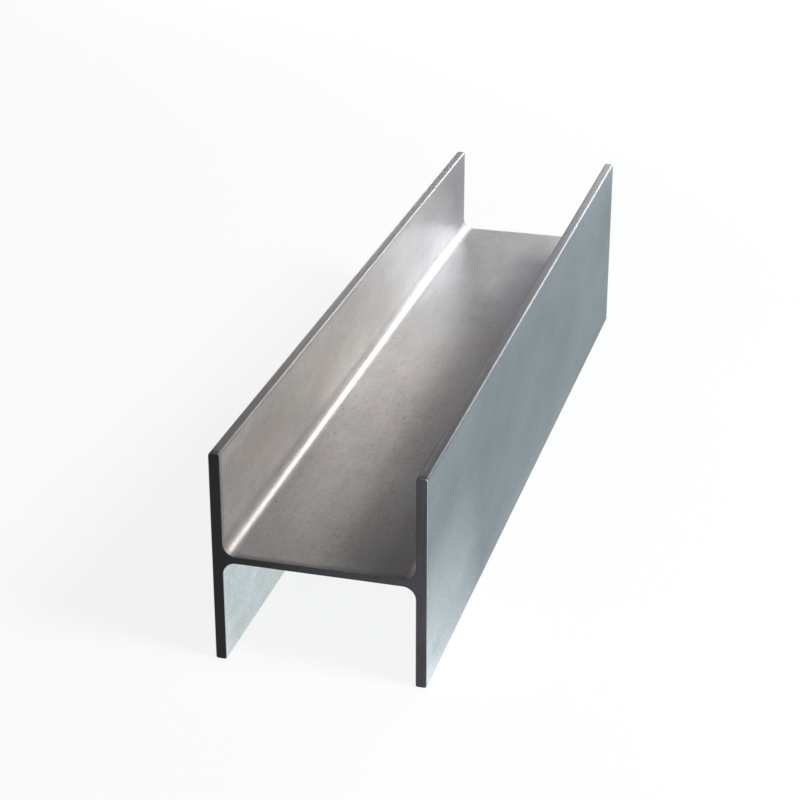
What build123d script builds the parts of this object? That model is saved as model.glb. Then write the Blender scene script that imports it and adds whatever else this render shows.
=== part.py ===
"""A short length of rolled steel H-beam, lying on the toes of its two flanges.

The beam is one piece of hot-rolled stock: a flat web between two parallel flanges,
with a root fillet in each inner corner, slightly rounded flange toes, and two square
saw cuts whose sharp edges have been broken with a file.

Frame, in millimetres: +X across the section's depth, +Y along the beam, +Z up along
the width of the flanges. The origin is on the floor, under the middle of the beam.
"""

from build123d import *

import os

# The rolled section
SECTION_DEPTH = 230.0  # over the outer faces of the two flanges
FLANGE_WIDTH = 240.0  # from toe to toe, upright here
FLANGE_THICKNESS = 12.0
WEB_THICKNESS = 8.0
ROOT_RADIUS = 14.0  # fillet between the web and a flange
TOE_RADIUS = 3.0  # rolled rounding on the edges of each flange toe

# The cut piece
BEAM_LENGTH = 1050.0  # from saw cut to saw cut
CUT_EDGE_BREAK = 1.0  # filed chamfer round each saw cut


def rolled_section():
    """The H outline about its own centre: depth along X, flange width along Y."""
    flange_spacing = SECTION_DEPTH - FLANGE_THICKNESS
    flange = RectangleRounded(FLANGE_THICKNESS, FLANGE_WIDTH, TOE_RADIUS)
    web = Rectangle(flange_spacing, WEB_THICKNESS)
    outline = web
    for side in (-1, 1):
        outline += Pos(X=side * flange_spacing / 2) * flange
    roots = outline.vertices().filter_by_position(Axis.Y, -WEB_THICKNESS, WEB_THICKNESS)
    return fillet(roots, ROOT_RADIUS)


def cut_length(section):
    """The section rolled along Y, cut square at both ends and deburred."""
    standing = Plane.XZ * (Pos(Y=FLANGE_WIDTH / 2) * section)
    stock = extrude(standing, BEAM_LENGTH / 2, both=True)
    saw_cuts = stock.faces().filter_by(Axis.Y)
    return chamfer(saw_cuts.edges(), CUT_EDGE_BREAK)


h_beam = cut_length(rolled_section())

os.makedirs("parts", exist_ok=True)
export_step(h_beam, "parts/h_beam.step")
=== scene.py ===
"""A hot-rolled steel H-beam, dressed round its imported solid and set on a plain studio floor.

The beam is one piece of rolled stock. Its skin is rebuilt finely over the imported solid, with smooth root
fillets, rounded flange toes, filed edges at the two saw cuts and the slight waviness of a rolled face.
"""

import math

import bpy
import numpy as np
from bpy.props import FloatProperty, FloatVectorProperty, IntProperty, PointerProperty
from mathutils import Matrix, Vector, noise


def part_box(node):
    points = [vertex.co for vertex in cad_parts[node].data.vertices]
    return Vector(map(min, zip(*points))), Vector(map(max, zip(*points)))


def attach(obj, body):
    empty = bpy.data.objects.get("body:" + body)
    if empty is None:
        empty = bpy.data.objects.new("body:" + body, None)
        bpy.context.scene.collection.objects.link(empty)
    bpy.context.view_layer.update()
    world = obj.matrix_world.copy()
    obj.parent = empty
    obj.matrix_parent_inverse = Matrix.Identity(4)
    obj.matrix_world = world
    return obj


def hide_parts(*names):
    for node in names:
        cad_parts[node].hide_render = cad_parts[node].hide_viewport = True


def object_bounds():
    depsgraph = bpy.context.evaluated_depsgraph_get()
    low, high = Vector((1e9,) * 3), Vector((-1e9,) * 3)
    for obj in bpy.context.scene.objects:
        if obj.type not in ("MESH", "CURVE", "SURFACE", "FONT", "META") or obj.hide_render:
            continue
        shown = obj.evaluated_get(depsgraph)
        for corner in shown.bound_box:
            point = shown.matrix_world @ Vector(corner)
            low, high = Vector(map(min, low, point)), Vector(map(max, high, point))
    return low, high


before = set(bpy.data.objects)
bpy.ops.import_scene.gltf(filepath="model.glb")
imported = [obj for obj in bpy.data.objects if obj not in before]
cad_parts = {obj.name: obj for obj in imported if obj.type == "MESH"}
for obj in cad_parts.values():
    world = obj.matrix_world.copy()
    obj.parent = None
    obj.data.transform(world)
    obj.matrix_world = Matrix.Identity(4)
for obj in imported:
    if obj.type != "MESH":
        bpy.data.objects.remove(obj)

bl_info = {
    "name": "Rolled H-beam",
    "version": (1, 0, 0),
    "blender": (4, 5, 0),
    "location": "3D View > Sidebar > H-beam",
    "description": "Builds the finished skin of a rolled H-beam and a plain studio stage for it",
    "category": "Object",
}

BEAM_NODE = "h_beam"
BEAM_BODY = "root"
CAD_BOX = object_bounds()


# Sizes and colours

def colour_property(name, description, default):
    """A colour that a user may change, in linear light."""
    return FloatVectorProperty(
        name=name, description=description, subtype="COLOR", size=3, default=default, min=0.0, max=1.0)


class BeamSkinSettings(bpy.types.PropertyGroup):
    """How finely the rolled skin is built, and how far it strays from a perfect section."""

    face_spacing: FloatProperty(
        name="Face spacing", description="Distance between points across a flat face",
        default=0.008, min=0.002, unit="LENGTH")
    ring_spacing: FloatProperty(
        name="Ring spacing", description="Distance between rings along the beam",
        default=0.010, min=0.002, unit="LENGTH")
    root_facets: IntProperty(
        name="Root facets", description="Facets in each root fillet", default=16, min=4)
    toe_facets: IntProperty(
        name="Toe facets", description="Facets in each rounded toe edge", default=6, min=2)
    cut_facets: IntProperty(
        name="Cut facets", description="Facets in the filed edge round a saw cut", default=3, min=1)
    waviness: FloatProperty(
        name="Waviness", description="Height of the slow waves left by the rolls",
        default=0.00006, min=0.0, unit="LENGTH")
    wave_length: FloatProperty(
        name="Wave length", description="Length of those waves", default=0.09, min=0.01, unit="LENGTH")


class SteelSettings(bpy.types.PropertyGroup):
    """Colours of the rolled faces, the flange toes and the saw cuts."""

    inner_colour: colour_property(
        "Inner faces", "Grey of the web's upper face and the flange faces beside it",
        (0.422, 0.413, 0.384))
    warm_colour: colour_property(
        "Warm patches", "Slightly pinker patches on the inner faces", (0.448, 0.412, 0.388))
    # Painted reflection: cooler grey laid on the inner faces towards the far end.
    far_painted_reflection_colour: colour_property(
        "Far inner faces", "Cooler grey of the inner faces towards the far end", (0.42, 0.42, 0.43))
    # Painted shade: darker colour laid along the web's edges and on the inner flanges' far tops, where shade
    # falls.
    painted_shade_colour: colour_property(
        "Dark scale", "Darker scale along the web's edges and on the flanges' far tops",
        (0.116, 0.107, 0.135))
    # Partly painted light: the outer faces are set bluer and darker than the inner ones for the cool
    # reflection and shade on them, over a blue-grey scale.
    outer_colour: colour_property(
        "Outer faces", "Blue-grey scale of the outer flange faces", (0.152, 0.186, 0.208))
    outer_patch_colour: colour_property(
        "Outer patches", "Slightly greener patches on the outer faces", (0.165, 0.193, 0.204))
    outer_sheen: colour_property(
        "Outer sheen", "Blue tint of the outer faces' gloss at a flat angle", (0.79, 0.87, 0.91))
    # Painted light: paler, cooler colour for the floor's bounce and reflection below the web, low on the
    # near end and on the filed edges.
    painted_floor_light_colour: colour_property(
        "Pale steel", "Paler, cooler steel below the web and low on the near end", (0.70, 0.78, 0.80))
    toe_colour: colour_property(
        "Right toes", "Darker scale on the right flange's toes", (0.126, 0.115, 0.116))
    # Painted light: this far-end toe colour is lighter, for the light falling there.
    far_toe_colour: colour_property(
        "Right toes, far end", "Lighter scale on those toes towards the far end", (0.256, 0.25, 0.262))
    left_toe_colour: colour_property(
        "Left toes", "Darker, browner scale on the left flange's toes", (0.16, 0.137, 0.127))
    # Painted light: this far-end toe colour is lighter, for the light falling there.
    far_left_toe_colour: colour_property(
        "Left toes, far end", "Lighter scale on those toes towards the far end", (0.37, 0.36, 0.358))
    # Bright steel for the worn toe edges, partly a painted highlight along their roundings, and for the
    # painted highlights on the inner faces.
    worn_and_highlight_colour: colour_property(
        "Worn steel", "Bright steel of worn toe edges and of polish on the inner faces", (0.62, 0.62, 0.63))
    pit_colour: colour_property(
        "Pits", "Dark scale left in small pits and stains", (0.11, 0.09, 0.08))
    sawn_colour: colour_property(
        "Sawn ends", "Charcoal of the saw cuts at the left flange", (0.012, 0.012, 0.012))
    # Painted light: the saw cuts are set lighter at the right flange.
    sawn_painted_light_colour: colour_property(
        "Sawn ends, right", "Lighter charcoal of the saw cuts at the right flange",
        (0.072, 0.068, 0.079))
    filed_colour: colour_property(
        "Filed edges", "Dull steel where the saw burr was filed off", (0.07, 0.07, 0.072))


class StageSettings(bpy.types.PropertyGroup):
    """Floor, lights and camera."""

    floor_colour: colour_property("Floor", "Pale floor", (0.8, 0.82, 0.83))
    light_level: FloatProperty(
        name="Light level", description="One factor for the power of all softboxes",
        default=1.0, min=0.0)
    camera_place: FloatVectorProperty(
        name="Camera", description="Where the camera stands", subtype="TRANSLATION", size=3,
        default=(0.5708, -2.2935, 1.1481), unit="LENGTH")
    camera_aim: FloatVectorProperty(
        name="Aim", description="Point on the camera's axis", subtype="TRANSLATION", size=3,
        default=(-0.0572, 0.0, 0.0778), unit="LENGTH")
    camera_lens: FloatProperty(
        name="Lens", description="Focal length for the sensor's width, in millimetres", default=93.23)


# The rolled section

HAIR = 0.0001  # a tenth of a millimetre, to tell one level from the next
CLEAR_OF_ROOTS = 0.75  # past this share of a flange's half width there is no root fillet
WAVE_STRETCH = 3  # how much longer the waves are along the beam than across it
CREASE = math.radians(35)  # edges that turn by more than this stay sharp
INNER, OUTER, UNDER, SAWN, FILED = range(5)  # the beam's finishes, in the order of its material slots


class Section:
    """Half sizes and radii of the H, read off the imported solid's own corners, in metres."""

    def __init__(self, node):
        low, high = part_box(node)
        corners = np.array([v.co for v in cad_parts[node].data.vertices])
        self.middle = (low + high) / 2
        across, along, up = np.abs(corners - np.array(self.middle)).T
        self.half_depth = across.max()
        self.half_width = up.max()
        self.half_length = along.max()
        whole = along < self.half_length - HAIR
        across, along, up = across[whole], along[whole], up[whole]
        self.cut_break = self.half_length - along.max()
        self.half_web = up.min()
        self.flange_inside = across[up > CLEAR_OF_ROOTS * self.half_width].min()
        self.root_radius = self.flange_inside - across[up < self.half_web + HAIR].max()
        self.toe_radius = self.half_width - up[across > self.half_depth - HAIR].max()
        self.flange_middle = (self.flange_inside + self.half_depth) / 2


def straight(start, end, normal, spacing):
    """Points evenly spaced from start up to end, without the end itself."""
    steps = max(1, round(math.dist(start, end) / spacing))
    for step in range(steps):
        share = step / steps
        yield (start[0] + (end[0] - start[0]) * share, start[1] + (end[1] - start[1]) * share, *normal)


def rounded(centre, radius, first, last, facets, inward=False):
    """Points on an arc from first to last degrees, without the last. Inward turns the normals round."""
    side = -1 if inward else 1
    for facet in range(facets):
        angle = math.radians(first + (last - first) * facet / facets)
        across, up = math.cos(angle), math.sin(angle)
        yield (centre[0] + radius * across, centre[1] + radius * up, side * across, side * up)


def quarter_outline(section, skin):
    """(x, z, normal x, normal z) from mid-web round one toe to the middle of the flange's outer face."""
    root_x = section.flange_inside - section.root_radius
    root_z = section.half_web + section.root_radius
    toe_z = section.half_width - section.toe_radius
    toe_in = section.flange_inside + section.toe_radius
    toe_out = section.half_depth - section.toe_radius
    toe_middle = (section.flange_middle, section.half_width)
    spacing = skin.face_spacing
    yield from straight((0, section.half_web), (root_x, section.half_web), (0, 1), spacing)
    yield from rounded((root_x, root_z), section.root_radius, -90, 0, skin.root_facets, inward=True)
    yield from straight((section.flange_inside, root_z), (section.flange_inside, toe_z), (-1, 0), spacing)
    yield from rounded((toe_in, toe_z), section.toe_radius, 180, 90, skin.toe_facets)
    yield from straight((toe_in, section.half_width), toe_middle, (0, 1), spacing)
    yield from straight(toe_middle, (toe_out, section.half_width), (0, 1), spacing)
    yield from rounded((toe_out, toe_z), section.toe_radius, 90, 0, skin.toe_facets)
    yield from straight((section.half_depth, toe_z), (section.half_depth, 0), (1, 0), spacing)
    yield (section.half_depth, 0, 1, 0)


def whole_outline(section, skin):
    """The closed H as an array of (x, z, normal x, normal z), clockwise seen from the near end."""
    quarter = np.array(list(quarter_outline(section, skin)))
    right = np.vstack([quarter, (quarter * (1, -1, 1, -1))[-2::-1]])
    left = (right * (-1, 1, -1, 1))[-2:0:-1]
    return np.vstack([right, left])


def ring_places(section, skin):
    """(place along the beam, inset) of each ring, from the near saw cut to the far one."""
    near = []
    for facet in range(skin.cut_facets + 1):
        angle = math.radians(90 * facet / skin.cut_facets)
        along = section.cut_break * (1 - math.cos(angle))
        inset = section.cut_break * (1 - math.sin(angle))
        near.append((along - section.half_length, inset))
    far = [(-place, inset) for place, inset in reversed(near)]
    span = 2 * (section.half_length - section.cut_break)
    steps = round(span / skin.ring_spacing)
    middle = [(near[-1][0] + span * step / steps, 0.0) for step in range(1, steps)]
    return near + middle + far


def face_masks(outline, section):
    """How far each outline point is on a toe, its edge, a root fillet or an outer or under face, from 0 to
    1. The last marks where filed edges get painted floor reflection.
    """
    x, z, normal_x, normal_z = outline.T
    at_toe = np.abs(z) > section.half_width - section.toe_radius - HAIR
    outward = np.clip(normal_x * np.sign(x), 0, 1) * (np.abs(x) > section.flange_middle)
    below = (z < 0) & (np.abs(x) < section.flange_inside + HAIR)
    return {
        "toe": np.abs(normal_z) * at_toe,
        "edge": 2 * np.abs(normal_x * normal_z) * at_toe,
        "root": 2 * np.abs(normal_x * normal_z) * ~at_toe,
        # Faces beside which the filed edges get painted floor reflection.
        "pale": np.maximum(outward, below),
    }


def face_finishes(outline, section):
    """The finish of each stretch of the outline, from one point to the next."""
    middles = (outline + np.roll(outline, -1, axis=0)) / 2
    outside = np.abs(middles[:, 0]) > section.flange_middle
    return np.where(outside, OUTER, np.where(middles[:, 1] < 0, UNDER, INNER)).tolist()


def wave_height(point, skin):
    """Slow waves of a rolled face, longer along the beam than across it."""
    stretched = Vector((point[0], point[1] / WAVE_STRETCH, point[2])) / skin.wave_length
    return skin.waviness * noise.noise(stretched)


def build_beam_mesh(section, skin):
    """The skin: rings of the outline along the beam, closed by the two saw cuts."""
    outline = whole_outline(section, skin)
    rings = ring_places(section, skin)
    masks = face_masks(outline, section)
    rolled = face_finishes(outline, section)
    count = len(outline)
    verts = []
    for place, inset in rings:
        for (x, z, normal_x, normal_z), toe in zip(outline, masks["toe"]):
            lift = wave_height((x, place, z), skin) * (1 - toe) - inset
            verts.append((section.middle.x + x + normal_x * lift, section.middle.y + place,
                          section.middle.z + z + normal_z * lift))
    faces = []
    finishes = []
    last_ring = len(rings) - 1
    for ring in range(last_ring):
        filed = ring < skin.cut_facets or ring >= last_ring - skin.cut_facets
        for side in range(count):
            here = ring * count + side
            beside = ring * count + (side + 1) % count
            faces.append((here, beside, beside + count, here + count))
            finishes.append(FILED if filed else rolled[side])
    faces.append(tuple(reversed(range(count))))
    faces.append(tuple(range(last_ring * count, (last_ring + 1) * count)))
    finishes += [SAWN, SAWN]

    mesh = bpy.data.meshes.new("rolled_beam")
    mesh.from_pydata(verts, [], faces)
    mesh.polygons.foreach_set("material_index", finishes)
    mesh.polygons.foreach_set("use_smooth", [finish != SAWN for finish in finishes])
    for name, values in masks.items():
        layer = mesh.attributes.new(name, "FLOAT", "POINT")
        layer.data.foreach_set("value", np.tile(values, len(rings)).astype(np.float32))
    mesh.set_sharp_from_angle(angle=CREASE)
    if mesh.validate():
        raise RuntimeError("the beam's skin has faces that don't fit together")
    mesh.update()
    return mesh


# Finishes

EVEN = (1.0, 1.0, 1.0)
DRAWN = (1.0, 0.4, 1.0)  # draws a texture out along the beam, as the rolls leave it
TEXTURES = {  # factors on X, Y and Z, clouds in a metre where the factor is 1, detail, roughness
    "patches": (DRAWN, 9.0, 4.0, 0.55),
    "mottle": (DRAWN, 60.0, 4.0, 0.65),
    "stains": (DRAWN, 150.0, 3.0, 0.6),
    "grain": (DRAWN, 420.0, 2.0, 0.5),
    "streaks": ((90.0, 2.5, 90.0), 1.0, 3.0, 0.5),
    "tints": ((1.0, 0.5, 1.0), 32.0, 3.0, 0.5),
    "damp": (EVEN, 14.0, 2.0, 0.5),
    "saw_marks": ((900.0, 1.0, 14.0), 1.0, 2.0, 0.5),
    "smudges": (EVEN, 12.0, 3.0, 0.5),
    "file_marks": (EVEN, 400.0, 2.0, 0.5),
}
CLOUD_RANGE = (0.3, 0.7)  # nearly all values of a cloud texture lie between these
TINT_RANGE = (0.4, 0.6)  # clouds between these pass from one tint to the other
PITS_IN_METRE = 180.0
PIT_SWIRLS = (300.0, 0.004)  # swirls in a metre, and how far they pull the pits about
PIT_WALL = (0.04, 0.4)  # from a pit's bottom to its rim, as shares of the pits' spacing
PIT_CHANCE = (0.6, 0.95)  # below the first a pit is missing, past the second it is at its deepest
WEB_EDGE = (0.09, 0.1)  # metres from the beam's middle: where the web ends and the flange begins
ROLLED_METALLIC = 0.78
ROLLED_RELIEF = 0.0003  # height of grain and pits, in metres
SAWN_RELIEF = 0.0002


class Finish:
    """A material under construction, with short calls that add nodes and return their outputs."""

    def __init__(self, name):
        self.material = bpy.data.materials.new(name)
        self.material.use_nodes = True
        self.tree = self.material.node_tree
        self.shader = self.tree.nodes["Principled BSDF"]

    def node(self, kind, inputs=(), **settings):
        """A new node with its inputs, numbers or other nodes' outputs, and its settings."""
        node = self.tree.nodes.new("ShaderNode" + kind)
        for key, value in settings.items():
            setattr(node, key, value)
        for socket, value in dict(inputs).items():
            self.put(node.inputs[socket], value)
        return node

    def put(self, socket, value):
        """Links an output to the socket, or sets the socket to a number or colour."""
        if isinstance(value, bpy.types.NodeSocket):
            self.tree.links.new(value, socket)
        elif socket.type == "RGBA":
            socket.default_value = (*value, 1.0)
        else:
            socket.default_value = value

    def place(self, stretch=EVEN):
        """A point on the piece in its own metres, squeezed or stretched along each axis."""
        metres = self.node("TexCoord").outputs["Object"]
        return self.node("Mapping", {"Vector": metres, "Scale": stretch}).outputs["Vector"]

    def axis(self, name):
        """The point's X across the beam, Y along it or Z up it, in metres."""
        return self.node("SeparateXYZ", {"Vector": self.place()}).outputs[name]

    def distance(self, axis, start=0.0):
        """How far the point is from start on an axis, either way."""
        gap = self.minus(self.axis(axis), start)
        return self.node("Math", {0: gap}, operation="ABSOLUTE").outputs["Value"]

    def mask(self, name):
        """One of the skin's masks, from 0 to 1."""
        return self.node("Attribute", attribute_name=name).outputs["Fac"]

    def clouds(self, name):
        """One of the cloud textures, from 0 to 1."""
        stretch, scale, detail, roughness = TEXTURES[name]
        values = {"Vector": self.place(stretch), "Scale": scale, "Detail": detail, "Roughness": roughness}
        return self.node("TexNoise", values).outputs["Fac"]

    def tangle(self, place, scale, reach):
        """The place, shifted irregularly in each direction by up to half of reach."""
        swirl = self.node("TexNoise", {"Vector": place, "Scale": scale, "Detail": 2.0}).outputs["Color"]
        centred = self.node("VectorMath", {0: swirl, 1: (0.5, 0.5, 0.5)}, operation="SUBTRACT").outputs[0]
        shift = self.node("VectorMath", {0: centred, "Scale": reach}, operation="SCALE").outputs[0]
        return self.node("VectorMath", {0: place, 1: shift}, operation="ADD").outputs[0]

    def ramp(self, value, low, high, at_low=0.0, at_high=1.0):
        """Goes from at_low to at_high as the value goes from low to high, and stays level past both."""
        values = {"Value": value, "From Min": low, "From Max": high, "To Min": at_low, "To Max": at_high}
        return self.node("MapRange", values).outputs["Result"]

    def fade(self, axis, start, end, at_start=0.0, at_end=1.0):
        """A ramp from one place on an axis to another, in metres."""
        return self.ramp(self.axis(axis), start, end, at_start, at_end)

    def spread(self, clouds, low, high):
        """A cloud texture whose usual range becomes low to high."""
        return self.ramp(clouds, *CLOUD_RANGE, low, high)

    def chain(self, operation, first, others):
        """The operation on first and each of the others in turn."""
        for other in others:
            first = self.node("Math", {0: first, 1: other}, operation=operation).outputs["Value"]
        return first

    def times(self, first, *others):
        return self.chain("MULTIPLY", first, others)

    def plus(self, first, *others):
        return self.chain("ADD", first, others)

    def minus(self, first, *others):
        return self.chain("SUBTRACT", first, others)

    def most(self, first, *others):
        return self.chain("MAXIMUM", first, others)

    def grey(self, value):
        return self.node("CombineColor", {0: value, 1: value, 2: value}).outputs["Color"]

    def blend(self, share, first, second, kind="MIX"):
        """The first colour with a share of the second mixed or multiplied in."""
        mix = self.node("Mix", data_type="RGBA", blend_type=kind)
        self.put(mix.inputs[0], share)
        self.put(mix.inputs[6], first)
        self.put(mix.inputs[7], second)
        return mix.outputs[2]

    def bump(self, height, strength, relief):
        """A fine relief of that many metres."""
        values = {"Height": height, "Strength": strength, "Distance": relief}
        return self.node("Bump", values).outputs["Normal"]

    def dress(self, **sockets):
        """Sets the shader's sockets, with _ for the blanks in their names."""
        for name, value in sockets.items():
            self.put(self.shader.inputs[name.replace("_", " ")], value)
        return self.material


def toe_scale_and_painted_light(finish, colours):
    """Colour of the flange toes, browner on the left flange, with painted light making them lighter towards
    the far end and painted shade darkening the left toes' outer half.
    """
    left = finish.fade("X", 0.1, -0.1)
    near = finish.blend(left, colours.toe_colour, colours.left_toe_colour)
    far = finish.blend(left, colours.far_toe_colour, colours.far_left_toe_colour)
    # Painted light: the toes turn lighter towards the far end.
    toes = finish.blend(finish.fade("Y", -0.4, 0.5), near, far)
    # Painted shade: the outer half of the left flange's toes is darker.
    return finish.blend(finish.fade("X", -0.105, -0.115, 0.0, 0.5), toes, colours.left_toe_colour)


def pits(finish):
    """Small scattered pits, drawn out along the beam, from 0 on the face to 1 in the deepest."""
    places = finish.tangle(finish.place(DRAWN), *PIT_SWIRLS)
    cells = finish.node("TexVoronoi", {"Vector": places, "Scale": PITS_IN_METRE}).outputs
    chance = finish.node("SeparateColor", {"Color": cells["Color"]}).outputs[0]
    depth = finish.ramp(cells["Distance"], *PIT_WALL, 1.0, 0.0)
    return finish.times(depth, finish.ramp(chance, *PIT_CHANCE))


def roll(finish, colour, colours, pitting, wear_and_highlight, edge_dullness=0.1, **sockets):
    """Gives a rolled face its toes, worn edges that are partly painted highlights, patches, mottle, streaks,
    grain, stains and pits.
    """
    toe = finish.mask("toe")
    edge = finish.mask("edge")
    patches = finish.clouds("patches")
    mottle = finish.clouds("mottle")
    grain = finish.clouds("grain")
    colour = finish.blend(finish.ramp(toe, 0.0, 0.5), colour, toe_scale_and_painted_light(finish, colours))
    # Worn toe edges, brightened partly as a painted highlight along the roundings.
    worn_and_highlight = finish.times(edge, finish.spread(patches, 0.4, 1.0), wear_and_highlight)
    colour = finish.blend(worn_and_highlight, colour, colours.worn_and_highlight_colour)
    tone = finish.plus(finish.spread(patches, -0.09, 0.09), finish.spread(mottle, 0.9, 1.1),
                       finish.spread(finish.clouds("streaks"), -0.02, 0.02), finish.spread(grain, -0.1, 0.1))
    colour = finish.blend(finish.ramp(toe, 0.0, 1.0, 1.0, 0.15), colour, finish.grey(tone), "MULTIPLY")

    damp = finish.plus(finish.clouds("damp"), finish.fade("X", 0.06, -0.08, -0.08, 0.08),
                       finish.fade("Y", -0.5, 0.4, 0.06, -0.1))
    rusted = finish.times(finish.ramp(damp, 0.4, 0.58, 0.0, pitting), finish.ramp(toe, 0.0, 0.5, 1.0, 0.0),
                          finish.ramp(finish.distance("X"), *WEB_EDGE, 1.0, 0.4))
    stain = finish.times(finish.ramp(finish.clouds("stains"), 0.5, 0.7, 0.0, 0.24), rusted)
    pit = finish.times(pits(finish), rusted)
    colour = finish.blend(finish.most(pit, stain), colour, colours.pit_colour)

    rounding = finish.most(finish.mask("root"), toe)
    flat = finish.ramp(rounding, 0.0, 0.3, 1.0, 0.0)
    uneven = finish.plus(finish.spread(patches, 0.03, -0.03), finish.spread(mottle, -0.03, 0.03))
    rough = finish.plus(finish.ramp(rounding, 0.0, 1.0, 0.4, 0.43), finish.times(uneven, flat),
                        finish.times(edge, edge_dullness))
    height = finish.minus(finish.times(grain, 0.5), pit)
    bump = finish.bump(height, finish.times(flat, 0.22), ROLLED_RELIEF)
    return finish.dress(Base_Color=colour, Roughness=rough, Normal=bump, Metallic=ROLLED_METALLIC, **sockets)


def painted_inner_highlights(finish):
    """Painted highlights on the inner faces: flange tops, a patch past the middle, a glow on the flange feet
    and the root fillets.
    """
    tops = finish.times(finish.fade("Z", 0.205, 0.235, 0.0, 0.45), finish.fade("Y", 0.3, 0.1))
    from_patch = finish.distance("Y", 0.06)
    patch = finish.times(finish.fade("Z", 0.16, 0.2), finish.ramp(from_patch, 0.06, 0.2, 0.22, 0.0))
    feet = finish.times(finish.fade("Z", 0.132, 0.14), finish.fade("Z", 0.165, 0.14, 0.0, 0.3))
    roots = finish.times(finish.ramp(finish.mask("root"), 0.0, 0.5, 0.0, 0.22), finish.fade("Y", -0.4, 0.0))
    return finish.most(tops, patch, feet, roots)


def flange_painted_shade(finish):
    """Painted shade on the inner flange faces, deepest at the top of the far end."""
    reach = finish.plus(finish.axis("Y"), finish.times(finish.axis("Z"), 1.2))
    far_top = finish.plus(finish.ramp(reach, 0.4, 0.5, 0.0, 0.12), finish.ramp(reach, 0.6, 0.7, 0.0, 0.48))
    return finish.times(finish.ramp(finish.distance("X"), *WEB_EDGE), far_top)


def web_painted_shade(finish):
    """Painted shade along both edges of the web at the near end, and nearly all along its right edge, where
    the right flange shades it.
    """
    aside = finish.distance("X")
    lightest = finish.fade("Y", -0.3, -0.5, 0.08, 0.32)  # share of painted shade on the web's middle
    near = finish.times(finish.fade("Y", 0.3, -0.4), finish.ramp(aside, 0.01, 0.085, lightest, 0.64))
    deepest = finish.fade("Y", -0.1, 0.3, 0.07, 0.05)  # where the painted shade along the right edge gets to its darkest
    right = finish.times(finish.fade("X", -0.01, deepest, 0.08, 0.76), finish.fade("Y", 0.5, 0.4),
                         finish.fade("Y", -0.1, 0.3, 1.0, 1.3))
    return finish.times(finish.ramp(aside, *WEB_EDGE, 1.0, 0.0), finish.most(near, right))


def inner_steel(colours):
    """Warm grey steel of the upper trough: the web's upper face and the flange faces beside it."""
    finish = Finish("inner_steel")
    tints = finish.ramp(finish.clouds("tints"), *TINT_RANGE)
    colour = finish.blend(tints, colours.inner_colour, colours.warm_colour)
    # Painted reflection: cooler towards the far end.
    colour = finish.blend(finish.fade("Y", 0.0, 0.3), colour, colours.far_painted_reflection_colour)
    # Painted highlights: bright steel colour laid where light falls on the inner faces.
    colour = finish.blend(painted_inner_highlights(finish), colour, colours.worn_and_highlight_colour)
    # Painted shade on the web and the inner flange faces.
    painted_shade = finish.most(flange_painted_shade(finish), web_painted_shade(finish))
    colour = finish.blend(painted_shade, colour, colours.painted_shade_colour)
    wear_and_highlight = finish.times(finish.fade("Y", -0.3, 0.3, 0.4, 0.06), finish.fade("Y", -0.5, -0.3, 0.2, 1.0))
    dullness = finish.fade("X", -0.1, 0.1, 0.1, 0.4)
    return roll(finish, colour, colours, pitting=0.6, wear_and_highlight=wear_and_highlight, edge_dullness=dullness)


def outer_scale_and_painted_light(colours):
    """Blue-grey scale of the outer flange faces, set bluer and darker partly as painted cool reflection and
    shade, with painted light making them paler low on the near end, along the floor and high at the far end.
    """
    finish = Finish("outer_scale_and_painted_light")
    tints = finish.ramp(finish.clouds("tints"), *TINT_RANGE)
    colour = finish.blend(tints, colours.outer_colour, colours.outer_patch_colour)
    # Painted light: paler low on the near end and along the floor where the floor's light reflects, and high
    # towards the far end.
    near_foot = finish.times(finish.fade("Z", 0.16, 0.0, 0.1, 1.0), finish.fade("Y", -0.28, -0.525),
                             finish.spread(finish.clouds("patches"), 0.93, 1.07))
    floor_line = finish.times(finish.fade("Z", 0.03, 0.0), finish.fade("Y", 0.1, 0.3, 0.12, 0.0))
    far_top = finish.times(finish.fade("Y", 0.0, 0.5), finish.fade("Z", 0.19, 0.24, 0.0, 0.14))
    colour = finish.blend(finish.plus(near_foot, floor_line, far_top), colour, colours.painted_floor_light_colour)
    # More edge wear and painted highlight towards the far end.
    wear_and_highlight = finish.fade("Y", -0.45, 0.15, 0.15, 0.5)
    return roll(finish, colour, colours, pitting=0.25, wear_and_highlight=wear_and_highlight, Specular_Tint=colours.outer_sheen)


def under_steel(colours):
    """Steel below the web, painted pale and cool for the floor's light that reaches it."""
    return roll(Finish("under_steel"), colours.painted_floor_light_colour, colours, pitting=0.4, wear_and_highlight=0.12)


def saw_cut(colours):
    """Charcoal saw cut with fine marks down the section, with painted shade making it darker towards the
    left flange.
    """
    finish = Finish("saw_cut")
    marks = finish.clouds("saw_marks")
    smudges = finish.clouds("smudges")
    # Painted shade and light across the cut, darker at the left flange.
    charcoal = finish.blend(finish.fade("X", -0.1, 0.1), colours.sawn_colour, colours.sawn_painted_light_colour)
    tone = finish.plus(finish.spread(smudges, 0.8, 1.2), finish.spread(marks, -0.12, 0.12))
    colour = finish.blend(1.0, charcoal, finish.grey(tone), "MULTIPLY")
    rough = finish.spread(smudges, 0.55, 0.68)
    bump = finish.bump(marks, 0.3, SAWN_RELIEF)
    return finish.dress(Base_Color=colour, Roughness=rough, Normal=bump, Specular_IOR_Level=0.25)


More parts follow.
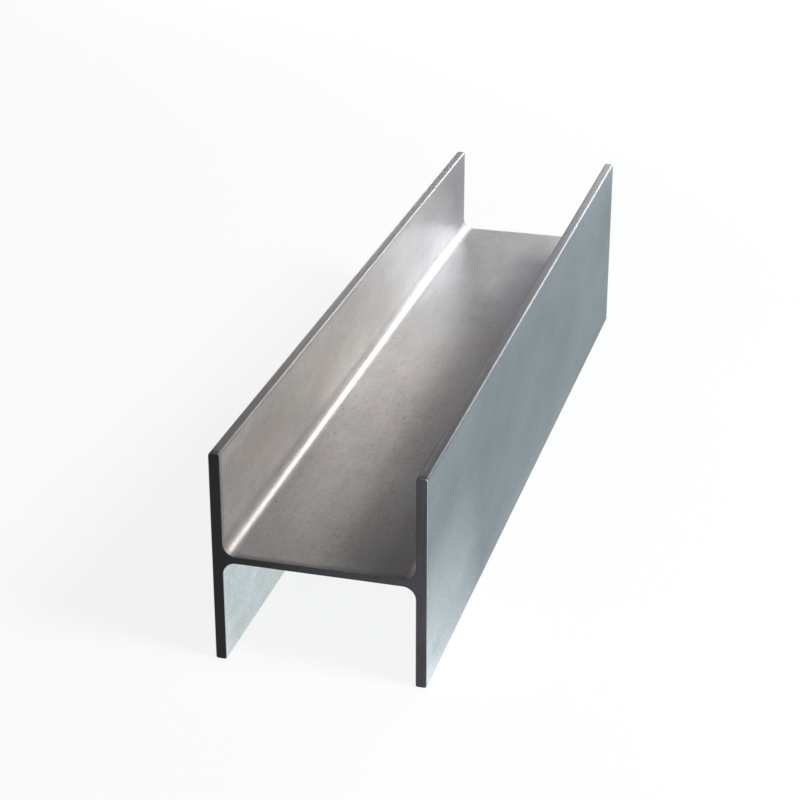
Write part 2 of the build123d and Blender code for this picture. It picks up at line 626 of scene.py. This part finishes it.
def filed_edge(colours):
    """Dull steel of a filed edge with the file's scratches, paler beside the outer and under faces as
    painted floor reflection, and with bright irregular patches at the right toe's outer edge.
    """
    finish = Finish("filed_edge")
    scratches = finish.clouds("file_marks")
    # Painted reflection of the bright floor on filed edges beside the outer and under faces.
    painted_reflection_share = finish.times(finish.mask("pale"), 0.6)
    steel = finish.blend(painted_reflection_share, colours.filed_colour, colours.painted_floor_light_colour)
    # Bright irregular patches on the filed edge at the right toe's outer half.
    bright_toe_patches = finish.times(finish.mask("toe"), finish.fade("X", 0.106, 0.112),
                         finish.ramp(scratches, 0.45, 0.55, 0.2, 1.0))
    steel = finish.blend(bright_toe_patches, steel, colours.worn_and_highlight_colour)
    colour = finish.blend(1.0, steel, finish.grey(finish.spread(scratches, 0.8, 1.2)), "MULTIPLY")
    rough = finish.spread(scratches, 0.4, 0.55)
    return finish.dress(Base_Color=colour, Roughness=rough, Metallic=0.6)


class HBEAM_OT_rolled_beam(bpy.types.Operator):
    """Build the rolled beam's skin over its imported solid"""

    bl_idname = "hbeam.rolled_beam"
    bl_label = "Rolled beam"

    def execute(self, context):
        colours = context.scene.hbeam_steel
        mesh = build_beam_mesh(Section(BEAM_NODE), context.scene.hbeam_skin)
        for make_finish in (inner_steel, outer_scale_and_painted_light, under_steel, saw_cut, filed_edge):
            mesh.materials.append(make_finish(colours))
        beam = bpy.data.objects.new("rolled_beam", mesh)
        context.scene.collection.objects.link(beam)
        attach(beam, BEAM_BODY)
        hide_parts(BEAM_NODE)
        return {"FINISHED"}


# Stage

LIGHT_DISTANCE = 3.5  # metres from the beam's middle to each softbox
SOFTBOXES = (  # name, bearing from the far end towards the right, height angle, width, height, watts
    ("key_softbox", 18, 19.5, 1.15, 1.15, 51),
    ("low_strip", 25, 4, 0.7, 0.6, 9),
    ("back_softbox", -2, 14, 0.7, 0.7, 7),
    ("web_softbox", -9, 29, 0.8, 0.7, 2.9),
    ("left_softbox", -23, 9, 0.7, 0.7, 14),
    ("side_softbox", 107, 42, 1.2, 1.2, 122),
    ("front_fill", 160, 30, 0.9, 0.9, 8),
)
FLOOR_REACH = 30.0  # metres from the beam to each edge of the floor
FLOOR_LIFT = 0.86  # share of plain white in what the camera and the steel see of the floor
DARK_WALL = 0.02
PALE_WALLS = (  # axis, where the wall starts to grow paler, where it is palest, how pale it gets
    ("Y", 0.0, -0.7, 0.4),  # before the beam's near end
    ("Z", 0.75, 0.95, 0.25),  # overhead
)
SENSOR_WIDTH = 36.0  # millimetres


def aim(thing, place, target):
    """Stands a lamp or camera at place, looking at target."""
    thing.location = place
    thing.rotation_euler = (Vector(target) - Vector(place)).to_track_quat("-Z", "Y").to_euler()


def hang_softbox(scene, target, level, name, bearing, height_angle, width, height, watts):
    """Hangs one softbox at its bearing and height, facing the target."""
    lamp = bpy.data.lights.new(name, "AREA")
    lamp.shape = "RECTANGLE"
    lamp.size = width
    lamp.size_y = height
    lamp.energy = watts * level
    softbox = bpy.data.objects.new(name, lamp)
    scene.collection.objects.link(softbox)
    turn = math.radians(bearing)
    rise = math.radians(height_angle)
    way = Vector((math.sin(turn) * math.cos(rise), math.cos(turn) * math.cos(rise), math.sin(rise)))
    aim(softbox, target + LIGHT_DISTANCE * way, target)


def pale_floor(stage):
    """Pale matt floor, lifted towards white where the camera or a gloss sees it. It keeps the shadow."""
    finish = Finish("studio_floor")
    path = finish.node("LightPath").outputs
    seen = finish.most(path["Is Camera Ray"], path["Is Glossy Ray"], path["Is Transmission Ray"])
    white = finish.node("Emission", {"Color": (1.0, 1.0, 1.0), "Strength": 1.0}).outputs["Emission"]
    finish.dress(Base_Color=stage.floor_colour, Roughness=0.9, Specular_IOR_Level=0.0)
    lift = {0: finish.times(seen, FLOOR_LIFT), 1: finish.shader.outputs["BSDF"], 2: white}
    surface = finish.tree.nodes["Material Output"].inputs["Surface"]
    finish.put(surface, finish.node("MixShader", lift).outputs["Shader"])
    return finish.material


def studio_room():
    """A room that is dark round the softboxes beyond the beam's far end, and paler elsewhere."""
    world = bpy.data.worlds.new("studio_room")
    world.use_nodes = True
    nodes = world.node_tree.nodes
    links = world.node_tree.links
    way = nodes.new("ShaderNodeSeparateXYZ")
    links.new(nodes.new("ShaderNodeTexCoord").outputs["Generated"], way.inputs["Vector"])
    palest = nodes.new("ShaderNodeMath")
    palest.operation = "MAXIMUM"
    for index, (axis, start, end, level) in enumerate(PALE_WALLS):
        fade = nodes.new("ShaderNodeMapRange")
        links.new(way.outputs[axis], fade.inputs["Value"])
        reach = {"From Min": start, "From Max": end, "To Min": DARK_WALL, "To Max": level}
        for socket, value in reach.items():
            fade.inputs[socket].default_value = value
        links.new(fade.outputs["Result"], palest.inputs[index])
    wall = nodes["Background"]
    wall.inputs["Color"].default_value = (1, 1, 1, 1)
    links.new(palest.outputs["Value"], wall.inputs["Strength"])
    return world


class HBEAM_OT_studio_stage(bpy.types.Operator):
    """Lay the floor, hang the lights and stand the camera"""

    bl_idname = "hbeam.studio_stage"
    bl_label = "Studio stage"

    def execute(self, context):
        scene = context.scene
        stage = scene.hbeam_stage
        scene.view_settings.view_transform = "Standard"

        mesh = bpy.data.meshes.new("studio_floor")
        signs = ((-1, -1), (1, -1), (1, 1), (-1, 1))
        mesh.from_pydata([(x * FLOOR_REACH, y * FLOOR_REACH, 0) for x, y in signs], [], [(0, 1, 2, 3)])
        mesh.materials.append(pale_floor(stage))
        floor = bpy.data.objects.new("studio_floor", mesh)
        scene.collection.objects.link(floor)

        scene.world = studio_room()
        low, high = CAD_BOX
        target = (low + high) / 2
        for softbox in SOFTBOXES:
            hang_softbox(scene, target, stage.light_level, *softbox)

        camera = bpy.data.objects.new("camera", bpy.data.cameras.new("camera"))
        scene.collection.objects.link(camera)
        camera.data.sensor_width = SENSOR_WIDTH
        camera.data.lens = stage.camera_lens
        aim(camera, stage.camera_place, stage.camera_aim)
        scene.camera = camera
        return {"FINISHED"}


class HBEAM_PT_sidebar(bpy.types.Panel):
    """Sizes, colours and the two build steps"""

    bl_label = "H-beam"
    bl_idname = "HBEAM_PT_sidebar"
    bl_space_type = "VIEW_3D"
    bl_region_type = "UI"
    bl_category = "H-beam"

    def draw(self, context):
        scene = context.scene
        for settings in (scene.hbeam_skin, scene.hbeam_steel, scene.hbeam_stage):
            box = self.layout.box()
            for name in settings.__annotations__:
                box.prop(settings, name)
        for operator in (HBEAM_OT_rolled_beam, HBEAM_OT_studio_stage):
            self.layout.operator(operator.bl_idname)


CLASSES = (BeamSkinSettings, SteelSettings, StageSettings, HBEAM_OT_rolled_beam, HBEAM_OT_studio_stage,
           HBEAM_PT_sidebar)


def register():
    for cls in CLASSES:
        bpy.utils.register_class(cls)
    bpy.types.Scene.hbeam_skin = PointerProperty(type=BeamSkinSettings)
    bpy.types.Scene.hbeam_steel = PointerProperty(type=SteelSettings)
    bpy.types.Scene.hbeam_stage = PointerProperty(type=StageSettings)


def unregister():
    del bpy.types.Scene.hbeam_stage
    del bpy.types.Scene.hbeam_steel
    del bpy.types.Scene.hbeam_skin
    for cls in reversed(CLASSES):
        bpy.utils.unregister_class(cls)


def main():
    register()
    bpy.ops.hbeam.rolled_beam()
    bpy.ops.hbeam.studio_stage()


if __name__ == "__main__":
    main()
